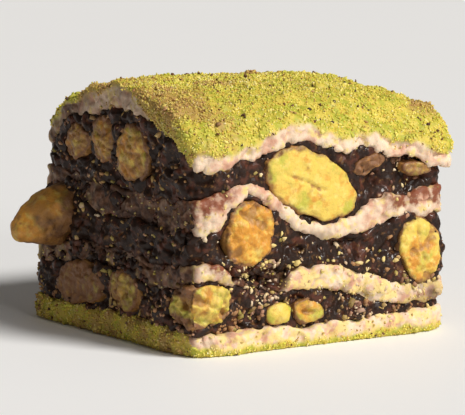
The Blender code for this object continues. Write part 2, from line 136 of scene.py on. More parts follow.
# Grains: kind, slot, where they lie, count, smallest and largest radius, length, how far out they sit and
# seed; then the darkest and lightest colour, and the colour that they take in patches
GRAINS = (
    ("coat_yellow_grains", "coating", "coat", 9600, 0.10, 0.30, 1.2, 0.3, 31,
     ((0.74, 0.57, 0.07), (0.95, 0.80, 0.18), (0.62, 0.60, 0.06))),
    ("coat_green_grains", "coating", "coat", 4600, 0.10, 0.28, 1.2, 0.3, 32,
     ((0.46, 0.46, 0.04), (0.74, 0.70, 0.09), (0.78, 0.48, 0.08))),
    ("coat_pale_grains", "coating", "coat", 3200, 0.09, 0.24, 1.2, 0.35, 33,
     ((0.80, 0.70, 0.26), (0.92, 0.84, 0.46), (0.74, 0.66, 0.14))),
    # Brown grains where the coat is browned, and low on the left side as painted shade
    ("coat_brown_grains", "coating", "browned", 1700, 0.10, 0.30, 1.3, 0.3, 36,
     ((0.30, 0.13, 0.05), (0.66, 0.40, 0.14), (0.50, 0.34, 0.08))),
    ("coat_dark_specks", "coating", "coat", 320, 0.14, 0.44, 1.2, 0.4, 34,
     ((0.025, 0.014, 0.010), (0.12, 0.045, 0.02), (0.20, 0.08, 0.02))),
    ("coat_large_chips", "coating", "coat", 620, 0.28, 0.52, 1.2, 0.1, 35,
     ((0.60, 0.50, 0.06), (0.90, 0.76, 0.22), (0.50, 0.50, 0.05))),
    ("coat_slivers", "coating", "coat", 110, 0.14, 0.26, 2.6, 0.2, 37,
     ((0.60, 0.52, 0.07), (0.88, 0.80, 0.24), (0.56, 0.56, 0.07))),
    ("loose_crumbs", "coating", "sheets", 660, 0.10, 0.38, 1.2, 0.25, 41,
     ((0.50, 0.40, 0.06), (0.90, 0.78, 0.34), (0.50, 0.30, 0.06))),
    ("nougat_crumbs", "nougat", "cuts", 420, 0.15, 0.85, 1.2, -0.1, 44,
     ((0.30, 0.13, 0.09), (0.84, 0.68, 0.46), (0.78, 0.60, 0.20))),
    ("filling_chips", "nut", "fillings", 900, 0.12, 0.52, 1.2, 0.0, 42,
     ((0.12, 0.050, 0.025), (0.68, 0.46, 0.15), (0.28, 0.13, 0.07))),
    ("filling_pieces", "nut", "fillings", 220, 0.35, 0.85, 1.1, -0.2, 43,
     ((0.14, 0.06, 0.03), (0.66, 0.48, 0.13), (0.30, 0.24, 0.05))),
    ("fruit_pieces", "filling", "low", 620, 0.25, 0.75, 1.1, -0.15, 45,
     ((0.14, 0.05, 0.035), (0.56, 0.30, 0.17), (0.36, 0.18, 0.06))),
)

# Smears of filling over the edges of the thin sheets, which on the left side also stand for painted shade:
# count, smallest and largest radius, how often their triangles are split, length, how deep they sink in, and
# how much flatter they are
SMEARS_AND_SHADE = (110, 0.5, 1.4, 2, 1.4, 0.1, 0.45)
SMEARS_AND_SHADE_SEED = 51

# How uneven a grain's outline is, its length, width and height as shares of its radius, and the powers
# that make most grains small
GRAIN_OUTLINE = (0.55, 1.2)
GRAIN_LENGTH = (0.75, 1.1)
GRAIN_WIDTH = (0.6, 0.95)
GRAIN_HEIGHT = (0.35, 0.8)
GRAIN_SIZES = (1.3, 3.2)

# How readily crumbs lie anywhere on the cut sides, in clusters, on the left and round the named places
CRUMBS_ANYWHERE = 0.08
CRUMBS_IN_CLUSTERS = 0.5
CRUMBS_ON_LEFT = 0.5
CRUMBS_AT_SPOTS = 1.5

# How each nut looks: orange, green and brown shares, roughness of its cut face, bulge, depth of the groove
# across it, and how much more orange its lower end is. The brown share of the nuts on the left side is partly
# painted shade.
NUT_LOOKS = {
    "nut_front_large": (0.16, 0.22, 0.0, 0.55, 0.30, 0.30, 0.0),
    "nut_front_chip": (0.85, 0.0, 0.6, 2.2, 0.2, 0.4, 0.0),
    "nut_front_sliver": (0.50, 0.05, 0.5, 1.2, 0.2, 0.3, 0.0),
    "nut_front_orange": (0.85, 0.0, 0.12, 1.7, 0.7, 0.0, -0.1),
    "nut_front_corner": (0.45, 0.15, 0.0, 1.3, 0.4, 0.35, 0.45),
    "nut_front_crumbled": (0.35, 0.45, 0.25, 2.6, 0.2, 0.0, 0.0),
    "nut_front_pea": (0.05, 0.30, 0.0, 0.6, 0.5, 0.0, 0.0),
    "nut_front_split": (0.75, 0.45, 0.2, 1.4, 0.3, 0.5, 0.0),
    # The nuts on the left side are browner, partly as painted shade
    "nut_left_tall": (0.65, 0.15, 0.35, 1.2, 0.4, 0.2, 0.0),
    "nut_left_upper": (0.65, 0.20, 0.45, 1.5, 0.3, 0.0, 0.0),
    "nut_left_far": (0.60, 0.20, 0.5, 1.5, 0.3, 0.0, 0.0),
    "nut_left_jutting": (0.95, 0.0, 0.2, 0.7, 0.0, 0.0, 0.0),
    "nut_left_round": (0.70, 0.35, 0.6, 1.3, 0.3, 0.0, 0.0),
    "nut_left_green": (0.35, 0.55, 0.45, 1.8, 0.2, 0.0, 0.0),
}
WHOLE_NUT = "nut_left_jutting"

# The ranges that the looks of all other nuts are drawn from, without the last
DRAWN_LOOKS = ((0.1, 0.9), (0.0, 0.5), (0.0, 0.45), (0.8, 1.8), (0.2, 0.5), (0.0, 0.35))

# A nut's groove: how far from the middle it lies and where it ends, as shares of half the nut's length,
# and its width
GROOVE_SHIFT = 0.15
GROOVE_ENDS = (0.62, 0.3)
GROOVE_WIDTH = 0.28

# The depth of a cut nut's pits, how dark they and the groove are, and how green and brown its rim is
PIT_DEPTH = 0.28
PIT_DARKNESS = 0.28
GROOVE_DARKNESS = 0.32
RIM_GREEN = 0.3
RIM_BROWN = 0.45

# How much creamier the nougat is low down, and between which heights that fades in
LOW_CREAM = 0.07
CREAM_HEIGHTS = (15.0, 7.0)

# Colours, as linear values
NOUGAT_PALE = (0.80, 0.62, 0.45)
NOUGAT_PINK = (0.62, 0.33, 0.22)
NOUGAT_CREAM = (0.80, 0.61, 0.22)
# Syrup stain; the same colour on the sheets' left side is partly painted shade
SYRUP_STAIN_AND_SHADE = (0.23, 0.070, 0.032)
# Smeared filling; the same two colours on the sheets' left side are painted shade
SMEAR_AND_SHADE_DARK = (0.044, 0.018, 0.010)
SMEAR_AND_SHADE_PALE = (0.145, 0.064, 0.030)
COAT_BASE = (0.66, 0.52, 0.08)
COAT_BASE_GREEN = (0.42, 0.41, 0.04)
# Browned coat; the same colours low on the left side are painted shade
COAT_BASE_BROWN_AND_SHADE = (0.40, 0.22, 0.08)
COAT_BROWN_AND_SHADE = (0.46, 0.24, 0.085)
FILLING_DARK = (0.021, 0.009, 0.005)
FILLING_RED = (0.095, 0.028, 0.014)
FILLING_CRUMB = (0.19, 0.090, 0.028)
NUT_YELLOW = (0.76, 0.54, 0.09)
NUT_ORANGE = (0.64, 0.275, 0.024)
NUT_GREEN = (0.50, 0.47, 0.05)
NUT_PALE = (0.87, 0.74, 0.24)
NUT_SKIN = (0.13, 0.055, 0.022)
NUT_TAN = (0.40, 0.19, 0.045)
# Brown flesh of a nut; on the nuts on the left side partly painted shade
NUT_BROWN_AND_SHADE = (0.22, 0.095, 0.034)

# The higher, the fewer light grains
TONE_POWER = {"coating": 0.9, "nougat": 0.8, "nut": 2.0, "filling": 1.1}

# The camera: its angles in degrees; its distance, the width that it sees and its aim in metres; its sensor
CAMERA_AZIMUTH = -32.0
CAMERA_ELEVATION = 10.0
CAMERA_DISTANCE = 0.9
SEEN_WIDTH = 0.0600
AIM_POINT = (-0.0015, 0.0, 0.0150)
SENSOR = 36.0

# The floor's half side in metres, the size of its faint patches, and their two greys
FLOOR_SIZE = 3.0
FLOOR_PATCH = 60.0
FLOOR_GREYS = ((0.93, 0.93, 0.93), (0.91, 0.91, 0.91))

# Lights, this many metres away: name, kind, azimuth, elevation, power, settings and colour
LIGHT_DISTANCE = 1.2
LIGHTS = (
    ("key", "SUN", 26, 47, 3.2, {"angle": math.radians(16)}, (1.0, 0.98, 0.95)),
    ("front", "AREA", 5, 20, 3.6, {"shape": "DISK", "size": 0.5}, (1.0, 0.97, 0.93)),
)
SKY_COLOUR = (1.0, 0.96, 0.91, 1.0)
SKY_STRENGTH = 0.12


# Shape helpers


def added(name, data):
    """A new object in the scene."""
    thing = bpy.data.objects.new(name, data)
    bpy.context.scene.collection.objects.link(thing)
    return thing


def read_rows(items, name, width, kind):
    """A property of many items, one row for each."""
    flat = np.empty(len(items) * width, dtype=kind)
    items.foreach_get(name, flat)
    return flat.reshape(-1, width)


def read_points(mesh):
    return read_rows(mesh.vertices, "co", 3, np.float32).astype(float) / MM


def write_points(mesh, points):
    mesh.vertices.foreach_set("co", (points * MM).astype(np.float32).ravel())
    mesh.update()


def read_normals(mesh):
    return read_rows(mesh.vertex_normals, "vector", 3, np.float32).astype(float)


def read_value(mesh, name):
    return read_rows(mesh.attributes[name].data, "value", 1, np.float32)[:, 0].astype(float)


def write_value(mesh, name, values):
    """Stores one number for each point, for the materials to read."""
    layer = mesh.attributes.new(name, "FLOAT", "POINT")
    layer.data.foreach_set("value", np.asarray(values, dtype=np.float32))


def smoothstep(low, high, values):
    part = np.clip((values - low) / (high - low), 0, 1)
    return part * part * (3 - 2 * part)


# What scrambles a cell's three whole numbers and a seed into one random number
CELL_FACTORS = (np.uint32(374761393), np.uint32(668265263), np.uint32(2246822519))
SEED_FACTORS = (97531, 65521, 40503)
SCRAMBLES = ((np.uint32(13), np.uint32(1274126177)), (np.uint32(15), np.uint32(2246822519)))
LAST_SCRAMBLE = np.uint32(16)


def lattice(cells, seed):
    """A fixed random number from -1 to 1 for each whole-numbered cell."""
    x, y, z = (cells[:, k].astype(np.int64).astype(np.uint32) * CELL_FACTORS[k] for k in range(3))
    factor, divisor, step = SEED_FACTORS
    mixed = x + y + z + np.uint32(seed * factor % divisor * step)
    for shift, scramble in SCRAMBLES:
        mixed = (mixed ^ (mixed >> shift)) * scramble
    mixed = mixed ^ (mixed >> LAST_SCRAMBLE)
    return mixed / 2.0**31 - 1


# How strong the finer parts of the materials' noises are
NOISE_ROUGHNESS = 0.55

# The noises' cells are turned and shifted, so that no line of them shows on the block's flat faces
NOISE_TURN = np.array(Matrix.Rotation(0.7, 3, Vector((0.4, 0.7, 0.5)).normalized()))
NOISE_SHIFT = 1000.0
PEBBLE_JITTER = 0.42


def soft_noise(points, size, seed):
    """Smooth noise from -1 to 1, its bumps about one size across."""
    place = points @ NOISE_TURN / size + NOISE_SHIFT
    cell = np.floor(place)
    part = place - cell
    part = part * part * (3 - 2 * part)
    total = np.zeros(len(points))
    for corner in np.ndindex(2, 2, 2):
        weight = np.prod(np.where(corner, part, 1 - part), axis=1)
        total += weight * lattice(cell + corner, seed)
    return total


def pebbles(points, size, seed):
    """Round bumps packed side by side: 1 on top of each and 0 in the creases."""
    place = points @ NOISE_TURN / size + NOISE_SHIFT
    cell = np.floor(place)
    nearest = np.full(len(points), 4.0)
    for step in np.ndindex(3, 3, 3):
        other = cell + np.array(step) - 1
        jitter = np.stack([lattice(other, seed + k) for k in range(3)], axis=1)
        nearest = np.minimum(nearest, ((place - other - 0.5 - PEBBLE_JITTER * jitter) ** 2).sum(axis=1))
    return np.clip(1 - nearest, 0, 1)


def relief(points, seed, recipe):
    """Soft noises and pebbles added to a level, by one of the recipes below."""
    level, soft, packed = recipe
    total = level + sum(height * soft_noise(points, size, seed + step) for height, size, step in soft)
    return total + sum(height * pebbles(points, size, seed + step) for height, size, step in packed)


def patches(points, size, seed, span):
    """0 in most places and 1 in patches, the noise between them stretched over the span."""
    return smoothstep(*span, soft_noise(points, size, seed))


# Recipes for shapes: a level, soft noises and pebbles, these by their height, size and step from the seed
DRAG = (0.0, ((0.42, 2.1, 900), (0.26, 0.9, 901)), ())
FILLING_LUMPS = (-0.717, ((0.55, 2.8, 0), (0.14, 0.45, 9)), ((0.75, 1.9, 1), (0.42, 0.85, 5)))
CUT_EDGE = (0.08, ((0.28, 1.7, 0), (0.16, 0.6, 1)), ((0.2, 0.7, 3),))
TEAR_ENDS = (0.0, ((0.9, 1.5, 0),), ())
THIN_SHEET_FACES = (0.0, ((0.24, 1.9, 3), (0.1, 0.7, 4)), ())
COATED_SHEET_FACES = (0.0, ((0.2, 2.4, 15),), ())
COAT_CRUMBS = (0.0, ((0.16, 1.8, 16),), ((0.30, 0.9, 3), (0.16, 0.45, 7)))
NUT_OUTLINE = (0.0, ((0.36, 2.4, 2), (0.24, 1.0, 3)), ())
NUT_CRAGS = (-0.324, ((0.2, 2.0, 0),), ((0.34, 1.2, 1), (0.2, 0.55, 5)))
NUT_SKIN_SWELLS = (0.1, ((0.14, 1.6, 8), (0.05, 0.6, 9)), ())
NUT_SKIN_KNOBS = (-0.096, (), ((0.16, 0.9, 15),))
GROOVE_WANDER = (0.0, ((0.5, 2.5, 12),), ())

# Recipes for colours
COAT_EDGE = (0.0, ((0.32, 2.2, 0), (0.224, 0.8, 1)), ())
BROWN_PATCHES = (0.0, ((0.6, 2.0, 911), (0.4, 0.8, 912)), ())
STAIN_SPREAD = (0.0, ((0.35, 2.4, 0), (0.25, 0.8, 1)), ())
# Painted shade on the left side of the thin and of the coated sheets
LEFT_PAINTED_SHADE = (0.93, ((0.3, 2.2, 5),), ())
LEFT_COATED_PAINTED_SHADE = (0.7, ((0.5, 2.2, 5),), ())
SOILED_GRIME = (0.65, ((0.4, 1.2, 9),), ())
SKIN_EDGE = (0.0, ((0.25, 1.0, 9),), ())
ORANGE_CHANGE = (0.0, ((0.3, 2.6, 10),), ())
GREEN_CHANGE = (0.0, ((0.25, 2.6, 11),), ())


def lean_weight(points):
    return LEAN * (points[:, 2] / CROWN - LEAN_PIVOT) * (1 + points[:, 1] / HALF) / 4


def upright(points):
    """The points with the block's lean taken out, so that its cut faces are flat."""
    weight = lean_weight(points)
    straight = points.copy()
    straight[:, 0] = (points[:, 0] - weight) / (1 - weight / HALF)
    return straight


def leaning(points):
    """Puts the lean back into upright points."""
    weight = lean_weight(points)
    leant = points.copy()
    leant[:, 0] = points[:, 0] + weight * (1 - points[:, 0] / HALF)
    return leant


def depth_in(points):
    """How far each point lies behind the nearest of the block's four cut faces."""
    straight = upright(points)
    return HALF - np.maximum(abs(straight[:, 0]), abs(straight[:, 1]))


def on_face(points, axis):
    """1 on the left (axis 0) or front (axis 1) face and 0 elsewhere, with a soft change at the corners."""
    straight = upright(points)
    return smoothstep(-0.5, 1.5, -straight[:, axis] - abs(straight[:, 1 - axis]))


def on_left(points):
    return on_face(points, 0)


def on_front(points):
    return on_face(points, 1)


def dragged(points):
    """How far the knife dragged each point up or down. Nothing moves deep inside or near the floor."""
    near = smoothstep(*DRAG_DEPTHS, depth_in(points)) * smoothstep(*DRAG_HEIGHTS, points[:, 2])
    return relief(points, 0, DRAG) * near


def bumps_at(points, places, axes):
    """The highest of some smooth bumps from 0 to 1, each by its place along two axes and its reach."""
    highest = np.zeros(len(points))
    for first, second, reach in places:
        square = (points[:, axes[0]] - first) ** 2 + (points[:, axes[1]] - second) ** 2
        highest = np.maximum(highest, np.exp(-square / reach**2))
    return highest


def browned_and_shaded_at(points):
    """How browned the coat is in patches round the named places, and the shade painted as brown low on the left
    side.
    """
    near = BROWNED_TOP * bumps_at(points, BROWNED, (0, 1)) * smoothstep(*ROOF_HEIGHTS, points[:, 2])
    # Painted shade: browner low on the left side
    near += LEFT_FOOT_PAINTED_SHADE * on_left(points) * smoothstep(*FOOT_HEIGHTS, points[:, 2])
    return MOST_BROWNED_AND_SHADED * smoothstep(0.3, 1.3, near + relief(points, 0, BROWN_PATCHES))


def side_share(points, normals, spans):
    """1 on the cut sides, and 0 deeper in and on what faces up or down."""
    depths, slopes = spans
    return smoothstep(*depths, depth_in(points)) * smoothstep(*slopes, abs(normals[:, 2]))


def near_faces(points, normals):
    return depth_in(points) < FINE_BAND


def near_faces_or_up(points, normals):
    return (depth_in(points) < FINE_BAND) | (normals[:, 2] > 0.2)


def relaxed(points, edges, rounds):
    """Rounds off facets without shrinking the shape, by turns of smoothing and its reverse."""
    count = len(points)
    first, second = edges[:, 0], edges[:, 1]
    neighbours = np.maximum(1, np.bincount(edges.ravel(), minlength=count))
    for _ in range(rounds):
        for strength in (0.5, -0.52):
            mean = np.empty_like(points)
            for axis in range(3):
                total = np.bincount(first, weights=points[second, axis], minlength=count)
                total += np.bincount(second, weights=points[first, axis], minlength=count)
                mean[:, axis] = total / neighbours
            points = points + strength * (mean - points)
    return points


def relax(mesh, rounds):
    edges = read_rows(mesh.edges, "vertices", 2, np.int32)
    write_points(mesh, relaxed(read_points(mesh), edges, rounds))


def solid_of(node):
    """A node's solid, its split points merged again."""
    mesh = bmesh.new()
    mesh.from_mesh(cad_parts[node].data)
    bmesh.ops.remove_doubles(mesh, verts=mesh.verts[:], dist=MERGE_DISTANCE * MM)
    mesh.normal_update()
    return mesh


def swollen(node):
    """A nut's solid swollen by a margin and pressed back behind the fillings' faces."""
    mesh = solid_of(node)
    points = np.array([(v.co + v.normal * NUT_MARGIN * MM)[:] for v in mesh.verts]) / MM
    straight = upright(points)
    straight[:, :2] = np.clip(straight[:, :2], FILLING_FACE - HALF, HALF - FILLING_FACE)
    for vert, point in zip(mesh.verts, leaning(straight)):
        vert.co = point * MM
    return mesh


def add_to(mesh, other):
    """Copies a second mesh into the first and frees it."""
    carrier = bpy.data.meshes.new("carrier")
    other.to_mesh(carrier)
    other.free()
    mesh.from_mesh(carrier)
    bpy.data.meshes.remove(carrier)


def grown_from(node, voxel, rounds, closed_round=()):
    """A new object: the node's solid, remeshed evenly and with its facets rounded off."""
    mesh = solid_of(node)
    for nut_node in closed_round:
        add_to(mesh, swollen(nut_node))
    coarse = bpy.data.meshes.new("coarse")
    mesh.to_mesh(coarse)
    mesh.free()
    piece = added(f"fine_{node}", coarse)
    remesh = piece.modifiers.new("remesh", "REMESH")
    remesh.mode = "VOXEL"
    remesh.voxel_size = voxel * MM
    fine = bpy.data.meshes.new_from_object(piece.evaluated_get(bpy.context.evaluated_depsgraph_get()))
    piece.modifiers.clear()
    piece.data = fine
    bpy.data.meshes.remove(coarse)
    relax(fine, rounds)
    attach(piece, "root")
    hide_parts(node)
    return piece


def split_faces(mesh, chosen):
    """Splits the edges once whose two ends chosen(points, normals) marks."""
    marked = chosen(read_points(mesh), read_normals(mesh))
    work = bmesh.new()
    work.from_mesh(mesh)
    edges = [e for e in work.edges if marked[e.verts[0].index] and marked[e.verts[1].index]]
    bmesh.ops.subdivide_edges(work, edges=edges, cuts=1, use_grid_fill=True)
    bmesh.ops.triangulate(work, faces=[f for f in work.faces if len(f.verts) > 4])
    work.to_mesh(mesh)
    work.free()
    mesh.update()


def tree_of(nodes, wanted=lambda normal: True):
    """A search tree of the wanted faces of some solids, in millimetres."""
    corners, faces = [], []
    for node in nodes:
        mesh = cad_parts[node].data
        start = len(corners)
        corners += [tuple(c / MM for c in v.co) for v in mesh.vertices]
        faces += [tuple(start + i for i in p.vertices) for p in mesh.polygons if wanted(p.normal)]
    return BVHTree.FromPolygons(corners, faces)


def distance_to(points, tree):
    return np.array([tree.find_nearest(Vector(p))[3] for p in points])


def depth_inside(points, tree, asked):
    """How deep each asked point lies inside the tree's solids, and 0 outside them."""
    depths = np.zeros(len(points))
    for i in np.flatnonzero(asked):
        point = Vector(points[i])
        place, normal, _, distance = tree.find_nearest(point)
        if (point - place).dot(normal) < 0:
            depths[i] = distance
    return depths


# Material helpers


def set_inputs(node, values):
    """Sets some of a node's inputs, by name."""
    for name, value in values.items():
        node.inputs[name].default_value = value


class Surface:
    """A material under construction."""

    def __init__(self, name, roughness):
        self.material = bpy.data.materials.new(name)
        self.material.use_nodes = True
        self.nodes = self.material.node_tree.nodes
        self.links = self.material.node_tree.links
        self.shader = self.nodes["Principled BSDF"]
        self.place = self.nodes.new("ShaderNodeTexCoord").outputs["Object"]
        self.fix("Roughness", roughness)

    def fix(self, name, value):
        """Gives a setting of the shader one value for the whole surface."""
        self.shader.inputs[name].default_value = value

    def value(self, name):
        node = self.nodes.new("ShaderNodeAttribute")
        node.attribute_name = name
        return node.outputs["Fac"]

    def noise(self, size, detail=3.0, shift=0.0):
        """Noise from 0 to 1 with features about one size across."""
        node = self.nodes.new("ShaderNodeTexNoise")
        node.noise_dimensions = "4D"
        set_inputs(node, {"W": shift, "Scale": 1 / (size * MM), "Detail": detail, "Roughness": NOISE_ROUGHNESS})
        self.links.new(self.place, node.inputs["Vector"])
        return node.outputs["Fac"]

    def stretch(self, value, low, high, to_low=0.0, to_high=1.0):
        """Takes a value from one range to another, with soft ends."""
        node = self.nodes.new("ShaderNodeMapRange")
        node.interpolation_type = "SMOOTHSTEP"
        set_inputs(node, {"From Min": low, "From Max": high, "To Min": to_low, "To Max": to_high})
        self.links.new(value, node.inputs["Value"])
        return node.outputs["Result"]

    def patches(self, size, shift, span, to=(0.0, 1.0), detail=4.0):
        """Patches about one size across: noise over a span, taken to another range."""
        return self.stretch(self.noise(size, detail, shift), *span, *to)

    def calculate(self, operation, first, second):
        """The sum or product of two values."""
        node = self.nodes.new("ShaderNodeMath")
        node.operation = operation
        for socket, value in zip(node.inputs, (first, second)):
            self.links.new(value, socket)
        return node.outputs["Value"]

    def mix(self, share, first, second):
        """A colour between two, each a tuple or another colour."""
        node = self.nodes.new("ShaderNodeMix")
        node.data_type = "RGBA"
        self.links.new(share, node.inputs["Factor"])
        sockets = [s for s in node.inputs if s.type == "RGBA"]
        for socket, colour in zip(sockets, (first, second)):
            if isinstance(colour, tuple):
                socket.default_value = (*colour, 1)
            else:
                self.links.new(colour, socket)
        return next(s for s in node.outputs if s.type == "RGBA")

    def colour(self, colour):
        self.links.new(colour, self.shader.inputs["Base Color"])

    def rough(self, value):
        self.links.new(value, self.shader.inputs["Roughness"])

    def bump(self, height, depth):
        """Fine relief, its depth in millimetres."""
        node = self.nodes.new("ShaderNodeBump")
        node.inputs["Distance"].default_value = depth * MM
        self.links.new(height, node.inputs["Height"])
        self.links.new(node.outputs["Normal"], self.shader.inputs["Normal"])

    def translucent(self, weight, depth, radius):
        """Light that goes in and comes out again, at most this many millimetres away."""
        self.fix("Subsurface Weight", weight)
        self.fix("Subsurface Scale", depth * MM)
        self.fix("Subsurface Radius", radius)


def nougat_surface():
    """Soft nougat: pink and cream patches, syrup soaked in, filling smeared on, coated in places, and painted
    shade on the block's left side.
    """
    surface = Surface("nougat", 0.5)
    pink = surface.patches(2.2, 1.0, (0.44, 0.66))
    creamy = surface.calculate("ADD", surface.value("low"), surface.noise(1.2, detail=4.0, shift=6.0))
    cream = surface.stretch(creamy, 0.50, 0.64, 0.0, 0.85)
    body = surface.mix(cream, surface.mix(pink, NOUGAT_PALE, NOUGAT_PINK), NOUGAT_CREAM)
    blot = surface.patches(0.9, 2.0, (0.35, 0.65), to=(0.55, 1.4))
    # The stain and smear values also carry painted shade on the left side
    soaked = surface.calculate("MULTIPLY", surface.value("stain"), blot)
    stained = surface.mix(surface.stretch(soaked, 0.1, 0.95), body, SYRUP_STAIN_AND_SHADE)
    film = surface.patches(1.3, 7.0, (0.35, 0.65), to=(0.75, 1.25), detail=5.0)
    grime = surface.mix(surface.patches(1.1, 8.0, (0.4, 0.65), detail=5.0), SMEAR_AND_SHADE_DARK, SMEAR_AND_SHADE_PALE)
    smeared_and_shaded = surface.mix(surface.calculate("MULTIPLY", surface.value("grime"), film), stained, grime)
    coat = surface.mix(surface.patches(1.4, 3.0, (0.42, 0.6), detail=5.0), COAT_BASE, COAT_BASE_GREEN)
    coat = surface.mix(surface.value("browned"), coat, COAT_BASE_BROWN_AND_SHADE)
    surface.colour(surface.mix(surface.value("coat"), smeared_and_shaded, coat))
    surface.rough(surface.patches(0.8, 4.0, (0.3, 0.7), to=(0.38, 0.72), detail=3.0))
    surface.bump(surface.noise(0.45, detail=5.0, shift=5.0), 0.12)
    surface.fix("Specular IOR Level", 0.3)
    surface.translucent(0.12, 0.7, (1.0, 0.5, 0.3))
    return surface.material


def filling_surface():
    """Dark sticky fruit filling, dark red in places and brown where crumbs are stirred in."""
    surface = Surface("filling", 0.4)
    body = surface.mix(surface.patches(1.5, 1.0, (0.48, 0.68)), FILLING_DARK, FILLING_RED)
    stirred = surface.patches(0.8, 4.0, (0.56, 0.70), to=(0.0, 0.8), detail=5.0)
    surface.colour(surface.mix(stirred, body, FILLING_CRUMB))
    surface.rough(surface.patches(0.6, 2.0, (0.35, 0.7), to=(0.4, 0.75), detail=3.0))
    surface.bump(surface.noise(0.35, detail=5.0, shift=3.0), 0.12)
    surface.fix("Specular IOR Level", 0.15)
    surface.fix("Coat Weight", 0.22)
    surface.fix("Coat Roughness", 0.12)
    return surface.material


def nut_surface():
    """Pistachio: mottled yellow, orange and green where cut, with a thin brown skin; browner in places, which
    on the nuts on the left side is partly painted shade.
    """
    surface = Surface("nut", 0.5)
    mottle = surface.noise(1.4, detail=4.0, shift=1.0)
    change = surface.stretch(mottle, 0.3, 0.7, -0.5, 0.5)
    orange = surface.calculate("ADD", surface.value("orange"), change)
    flesh = surface.mix(surface.stretch(orange, 0.15, 0.85), NUT_YELLOW, NUT_ORANGE)
    patch = surface.patches(1.9, 2.0, (0.35, 0.7), to=(-0.45, 0.4))
    green = surface.calculate("ADD", surface.value("green"), patch)
    flesh = surface.mix(surface.stretch(green, 0.1, 0.9), flesh, NUT_GREEN)
    flesh = surface.mix(surface.patches(0.9, 3.0, (0.5, 0.7), to=(0.0, 0.4)), flesh, NUT_PALE)
    pit = surface.calculate("ADD", surface.value("pit"), surface.noise(0.7, detail=5.0, shift=4.0))
    flesh = surface.mix(surface.stretch(pit, 0.6, 0.9, 0.0, 0.9), flesh, NUT_TAN)
    # Browner flesh, partly painted shade on the nuts on the left side
    brown = surface.calculate("ADD", surface.value("brown"), surface.noise(0.9, detail=5.0, shift=7.0))
    flesh = surface.mix(surface.stretch(brown, 0.62, 1.15), flesh, NUT_BROWN_AND_SHADE)
    skin = surface.mix(surface.stretch(mottle, 0.35, 0.65), NUT_SKIN, NUT_TAN)
    surface.colour(surface.mix(surface.value("skin"), flesh, skin))
    surface.rough(surface.patches(0.6, 5.0, (0.3, 0.7), to=(0.36, 0.62), detail=3.0))
    surface.bump(surface.noise(0.28, detail=5.0, shift=6.0), 0.13)
    surface.translucent(0.1, 0.6, (1.0, 0.6, 0.2))
    return surface.material


def grain_surface(kind, dark, light, patch):
    """One kind of grain: each has its own tone, in patches of another colour, browner where browned and where
    brown is painted as shade low on the left side.
    """
    surface = Surface(kind, 0.6)
    own = surface.mix(surface.value("tone"), dark, light)
    patched = surface.mix(surface.patches(2.8, 8.0, (0.44, 0.58), to=(0.0, 0.9)), own, patch)
    uneven = surface.patches(0.9, 9.0, (0.35, 0.6), to=(0.25, 0.95), detail=3.0)
    brown = surface.calculate("MULTIPLY", surface.value("browned"), uneven)
    surface.colour(surface.mix(brown, patched, COAT_BROWN_AND_SHADE))
    surface.bump(surface.noise(0.15, shift=1.0), 0.05)
    return surface.material


# Layers


def fine_piece(node, voxel, rounds, chosen, closed_round=()):
    """A smooth piece grown from a node, its chosen parts split once more; its points; and its normals."""
    piece = grown_from(node, voxel, rounds, closed_round)
    split_faces(piece.data, chosen)
    relax(piece.data, 1)
    piece.data.shade_smooth()
    return piece, read_points(piece.data), read_normals(piece.data)


def finish_layer(piece, points, normals, outward, material):
    """Moves a layer's points outward and along with the knife's drag, and gives it its material."""
    moved = points + normals * (SWELL + outward)[:, None]
    moved[:, 2] = np.maximum(moved[:, 2] + dragged(points), 0)
    write_points(piece.data, moved)
    piece.data.materials.append(material)


def nearest_filling(nut_node, trees):
    """The filling that a nut lies in: the one nearest to the nut's middle."""
    low, high = (Vector(c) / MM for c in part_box(nut_node))
    return min(trees, key=lambda node: trees[node].find_nearest((low + high) / 2)[3])


def make_filling(node, nut_nodes, seed, material):
    """A filling: it closes round its nuts, and its sides have sticky lumps, creases and hollows."""
    piece, points, normals = fine_piece(node, LAYER_VOXEL, 4, near_faces, nut_nodes)
    side = side_share(points, normals, FILLING_SIDE)
    creases = patches(points, 1.7, seed + 10, (0.25, 0.7))
    lumps = relief(points, seed, FILLING_LUMPS) - CREASE_DEPTH * creases
    lumps *= 1 + LEFT_LUMPS * on_left(points)
    lumps -= HOLLOW_DEPTH * on_front(points) * bumps_at(points, HOLLOWS, (0, 2))
    in_nut = smoothstep(*BED_RIM, depth_inside(points, tree_of(nut_nodes), depth_in(points) < BED_REACH))
    outward = side * (lumps * (1 - in_nut) - BED_DEPTH * in_nut)
    finish_layer(piece, points, normals, outward, material)
    return piece


def ragged_edge(points, seed):
    """The relief of a nougat sheet's cut edge: uneven, chipped and a little torn."""
    return relief(points, seed, CUT_EDGE) - CHIP_DEPTH * patches(points, 2.3, seed + 2, (0.35, 0.8))


def torn(points, seed):
    """1 where the lower thin sheet is torn at the front, and 0 elsewhere."""
    place = upright(points)[:, 0] + relief(points, seed, TEAR_ENDS)
    above = points[:, 2] - TEAR_HEIGHT
    first, last = (end + slant * above for end, slant in zip(TEAR, TEAR_SLANTS))
    after_first = smoothstep(-TEAR_SOFTNESS, TEAR_SOFTNESS, place - first)
    return on_front(points) * after_first * smoothstep(TEAR_SOFTNESS, -TEAR_SOFTNESS, place - last)


def write_looks(mesh, **values):
    """Stores a sheet's values for its material. What isn't given is 0, but for how low it lies."""
    heights = read_points(mesh)[:, 2]
    write_value(mesh, "low", LOW_CREAM * smoothstep(*CREAM_HEIGHTS, heights))
    for name in ("stain", "grime", "coat", "browned"):
        write_value(mesh, name, values.get(name, np.zeros(len(heights))))


